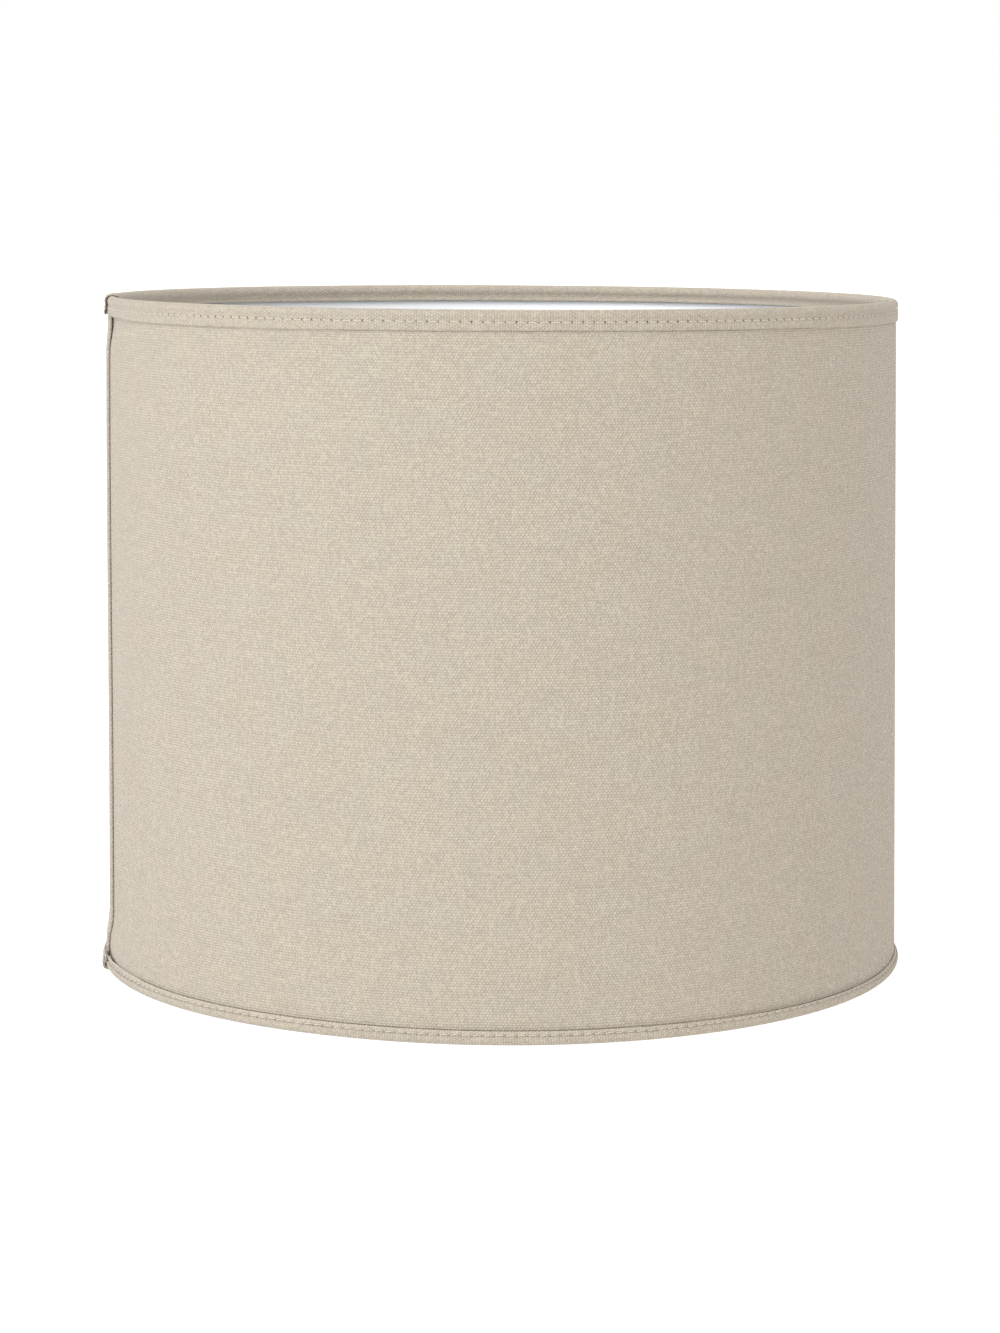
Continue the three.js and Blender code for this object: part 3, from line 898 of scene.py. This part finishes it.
def stitch_row(name, top, outside, first, last, material, node):
    """Single lockstitches, each dipping into its needle holes."""
    pitch = 360 / STITCHES
    thick = tape_thickness(top)
    rng = random.Random(5 if outside else 6)
    parts = []
    lap = COVER + AIR + 2 * thick + AIR
    inner = COVER - CANVAS_THICK - LINER_THICK - 3 * AIR - 2 * thick - AIR
    t = np.linspace(0, 1, 9)
    for k in range(STITCHES + 7):
        spread = TAPE_START + pitch * (k + 0.07 + 0.80 * t)
        if spread[0] < first or spread[-1] > last:
            continue
        rise = (0.20 * np.sin(np.pi * t) ** 0.6 - 0.13) * MM
        slant = rng.uniform(0.10, 0.30) * MM * (t - 0.3)
        depth = stitch_depth(top) + slant + rng.uniform(-0.04, 0.04) * MM
        if outside:
            radius = lap + rise + end_lift(top, spread, depth)
        else:
            radius = inner - 0.30 * MM - lap_inset(spread) - rise - end_lift(top, spread, depth)
        height = HEIGHT - depth if top else depth
        radius = radius + seam_shift(spread, height) * (1 if top else 0.75)
        parts.append(tube_parts(stand(spread, radius, height), 0.19 * MM, 7))
    row = joined(name, parts, material)
    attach(row, "shade")
    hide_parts(node)
    return row


def make_stitches(material):
    first, last, clear = 190.0, TOP_TAPE_END - 0.5, 1.6
    for name, top in (("top", True), ("bottom", False)):
        end = tape_end(top) - 0.5
        stitch_row(f"{name}_stitches", top, True, end - 360, end, material, f"{name}_needle_thread")
    node = "top_bobbin_thread_front"
    stitch_row("top_inner_stitches_front", True, False, first, 360 - clear, material, node)
    node = "top_bobbin_thread_back"
    stitch_row("top_inner_stitches_back", True, False, 360 + clear, 540 - clear, material, node)
    stitch_row("bottom_inner_stitches", False, False, first, last, material, "bottom_bobbin_thread")


def make_wires(material):
    for name, top in (("top", True), ("bottom", False)):
        angles = np.linspace(0, 360, 241)[:-1]
        sides = 16
        turn = np.linspace(0, 2 * math.pi, sides, endpoint=False)
        radius = ring_radius(top) + WIRE * np.cos(turn)[None, :]
        depth = RING_DEPTH + WIRE * np.sin(turn)[None, :]
        height = HEIGHT - depth if top else depth + 0.1 * MM
        dent = seam_shift(angles[:, None], HEIGHT - RING_DEPTH) if top else 0
        vertices = stand(angles[:, None], radius + dent, height).reshape(-1, 3)
        index = np.arange(len(vertices)).reshape(len(angles), sides)
        following = np.roll(index, -1, axis=0)
        quads = np.stack([index, following, np.roll(following, -1, 1), np.roll(index, -1, 1)], -1)
        faces = quads.reshape(-1, 4)
        ring = new_object(f"{name}_wire", vertices, faces, material=material)
        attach(ring, "shade")
        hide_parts(f"{name}_ring")


# ---------------------------------------------------------------- arms and fitter

ARM_WIRE = 1.6 * MM
ARM_KNEE = 142.4 * MM  # axis to the upright part of each arm
ARM_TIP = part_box("right_arm")[0].x
ARM_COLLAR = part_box("right_arm")[1].y
RING_HEIGHT = HEIGHT - RING_DEPTH
FITTER_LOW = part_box("fitter_ring")[0].z
FITTER_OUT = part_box("fitter_ring")[1].x
PLATE = 1.2 * MM
EAR = 5.0 * MM  # half its width
PIVOT_HOLE = 1.95 * MM


def bend(before, corner, after, radius, steps=10):
    """Points of an arc that rounds off a corner of a wire."""
    before, corner, after = Vector(before), Vector(corner), Vector(after)
    one, two = (before - corner).normalized(), (after - corner).normalized()
    half = one.angle(two) / 2
    reach = radius / math.tan(half)
    middle = corner + (one + two).normalized() * (radius / math.sin(half))
    start = (corner + one * reach - middle).normalized()
    end = (corner + two * reach - middle).normalized()
    return [tuple(middle + start.slerp(end, k / steps) * radius) for k in range(steps + 1)]


def make_arm(name, side, material):
    """A cranked wire: welded to the top ring, down clear of the shade, then in to its pivot pin."""
    level = RING_HEIGHT - side * TOP_TILT - 1.9 * MM
    root = (side * (RING - 0.8 * MM), 0, level)
    knee = (side * ARM_KNEE, 0, level)
    heel = (side * ARM_KNEE, 0, PIVOT)
    tip = (side * ARM_TIP, 0, PIVOT)
    path = [root, *bend(root, knee, heel, 3.6 * MM), *bend(knee, heel, tip, 8 * MM)]
    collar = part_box("right_spring_washer")[1].x + 0.8 * MM
    along = [0.110, 0.080, 0.050, collar + 1.0 * MM]
    shape = [(collar + 0.62 * MM, 1), (collar + 0.5 * MM, 1.5), (collar + 0.3 * MM, ARM_COLLAR / ARM_WIRE),
             (collar - 0.3 * MM, ARM_COLLAR / ARM_WIRE), (collar - 0.5 * MM, 1.5), (collar - 0.62 * MM, 1)]
    path += [(side * x, 0, PIVOT) for x in along]
    scale = [1.45, *[1.0] * (len(path) - 1)]
    scale[1] = 1.12
    for x, wide in shape:
        path.append((side * x, 0, PIVOT))
        scale.append(wide)
    for x, wide in ((ARM_TIP + 0.5 * MM, 1.0), (ARM_TIP + 0.15 * MM, 0.9), (ARM_TIP, 0.6)):
        path.append((side * x, 0, PIVOT))
        scale.append(wide)
    arm = joined(f"{name}_arm_wire", [tube_parts(path, np.array(scale) * ARM_WIRE, 20)], material)
    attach(arm, "shade")
    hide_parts(f"{name}_arm")


def make_washer(name, side, material):
    """A wavy spring washer, three waves to the turn."""
    low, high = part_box("right_spring_washer")
    middle, wave = (low.x + high.x) / 2, (high.x - low.x) / 2 - 0.2 * MM
    turn = np.linspace(0, 2 * math.pi, 72, endpoint=False)[:, None]
    radius = np.linspace(ARM_WIRE + 0.25 * MM, high.y, 7)[None, :]
    x = side * (middle + wave * np.cos(3 * turn) * radius / high.y)
    grid = np.stack([x, radius * np.cos(turn), PIVOT + radius * np.sin(turn)], axis=-1)
    washer = sheet_mesh(f"{name}_wave_washer", grid, 0.38 * MM, material, flip=side < 0, closed=True)
    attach(washer, "shade")
    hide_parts(f"{name}_spring_washer")


def make_clip(name, side, material):
    """A push-on clip: a dished disc with six teeth that bite the pin."""
    low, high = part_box("right_retaining_clip")
    turns, rings = 96, 9
    turn = np.linspace(0, 2 * math.pi, turns, endpoint=False)[:, None]
    radius = np.linspace(ARM_WIRE + 0.12 * MM, high.y, rings)[None, :]
    dish = (high.x - low.x - 0.35 * MM) * (1 - smooth(0.35, 0.75, radius / high.y))
    x = side * (high.x - 0.175 * MM - dish + 0 * turn)
    grid = np.stack([x, radius * np.cos(turn), PIVOT + radius * np.sin(turn)], axis=-1)
    keep = np.ones((turns, rings - 1), dtype=bool)
    for tooth in range(6):
        keep[tooth * 16:tooth * 16 + 3, :5] = False
    clip = sheet_mesh(f"{name}_clip", grid, 0.35 * MM, material, flip=side < 0, keep=keep, closed=True)
    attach(clip, "shade")
    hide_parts(f"{name}_retaining_clip")


def ear_parts(side):
    """An ear turned up from the rim: curved with it at the foot, flat round its pivot hole."""
    turns = np.linspace(0, 2 * math.pi, 72, endpoint=False)
    foot = PIVOT - (FITTER_LOW + 2.2 * MM)
    outline = []
    for t in turns:
        c, s = math.cos(t), math.sin(t)
        if s >= 0:
            outline.append(EAR)
        else:
            outline.append(min(EAR / max(abs(c), 1e-6), foot / -s))
    outline = np.array(outline)[:, None]
    share = np.linspace(0, 1, 7)[None, :]
    radius = PIVOT_HOLE * (1 - share) + outline * share
    y = radius * np.cos(turns)[:, None]
    z = PIVOT + radius * np.sin(turns)[:, None]
    middle = FITTER_OUT - PLATE / 2
    curved = np.sqrt(middle ** 2 - y ** 2)
    x = middle + (curved - middle) * (1 - smooth(PIVOT - 4.5 * MM, PIVOT - 1 * MM, z))
    return np.stack([side * x, y, z], axis=-1)


def make_fitter(material):
    """The pressed ring, its upturned rim and the two ears, as one piece of plate."""
    plate_top = FITTER_LOW + PLATE
    rim_top = FITTER_LOW + 3.0 * MM
    hole, inside = 21.25 * MM, FITTER_OUT - PLATE
    outline = rounded_outline([(hole, FITTER_LOW), (FITTER_OUT, FITTER_LOW), (FITTER_OUT, rim_top),
                               (inside, rim_top), (inside, plate_top), (hole, plate_top)], 0.45 * MM)
    ring = joined("fitter_pressing", [lathe_parts(outline[::-1], 160)], material)
    pieces = [ring]
    for side in (1, -1):
        pieces.append(sheet_mesh(f"ear_{side}", ear_parts(side), PLATE, material, flip=side > 0, closed=True))
    ring = merged(pieces)
    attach(ring, "fitter")
    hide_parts("fitter_ring")


def merged(pieces):
    """The first of several objects, with the others' meshes added to it."""
    shell = bmesh.new()
    for piece in pieces:
        shell.from_mesh(piece.data)
    shell.to_mesh(pieces[0].data)
    shell.free()
    for piece in pieces[1:]:
        bpy.data.objects.remove(piece)
    return pieces[0]


def make_reducer(material):
    """The loose plastic ring for a smaller lampholder, with softly moulded corners."""
    low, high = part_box("reducer_ring")
    hole, spigot, flange = 14.5 * MM, 21.0 * MM, high.x
    seat = high.z - 1.6 * MM
    outline = rounded_outline([(hole, low.z), (spigot, low.z), (spigot, seat), (flange, seat),
                               (flange, high.z), (hole, high.z)], 0.4 * MM)
    ring = joined("reducer_moulding", [lathe_parts(outline[::-1], 144)], material)
    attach(ring, "reducer")
    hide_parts("reducer_ring")


def main():
    """Makes the camera and the room, then the shade from its cover inwards, then the fitter."""
    make_camera()
    make_studio()
    make_floor()
    canvas = canvas_material("canvas", (0.416, 0.368, 0.298))
    tape = canvas_material("binding_tape", (0.410, 0.363, 0.295), turned=True, stitched=True)
    make_cover(canvas)
    make_liner(liner_material())
    make_seam_glue(plain_material("adhesive", (0.76, 0.71, 0.58), 0.6))
    for top, fray in ((True, (0.40, 0.275, 0.205)), (False, (0.60, 0.52, 0.45))):
        grid = make_binding(top, tape)
        name = "top" if top else "bottom"
        frayed_end(f"{name}_frayed_end", grid, top, thread_material(f"{name}_fray", fray))
        for layer in ((1,) if top else (1, 2)):
            tucked_end(f"{name}_tuck_{layer}", grid, layer, tape)
    make_stitches(thread_material("thread", (0.54, 0.49, 0.405)))
    lacquer, steel = lacquer_material(), steel_material()
    make_wires(lacquer)
    for name, side in (("right", 1), ("left", -1)):
        make_arm(name, side, lacquer)
        make_washer(name, side, steel)
        make_clip(name, side, steel)
    make_fitter(zinc_material())
    make_reducer(plastic_material())


main()
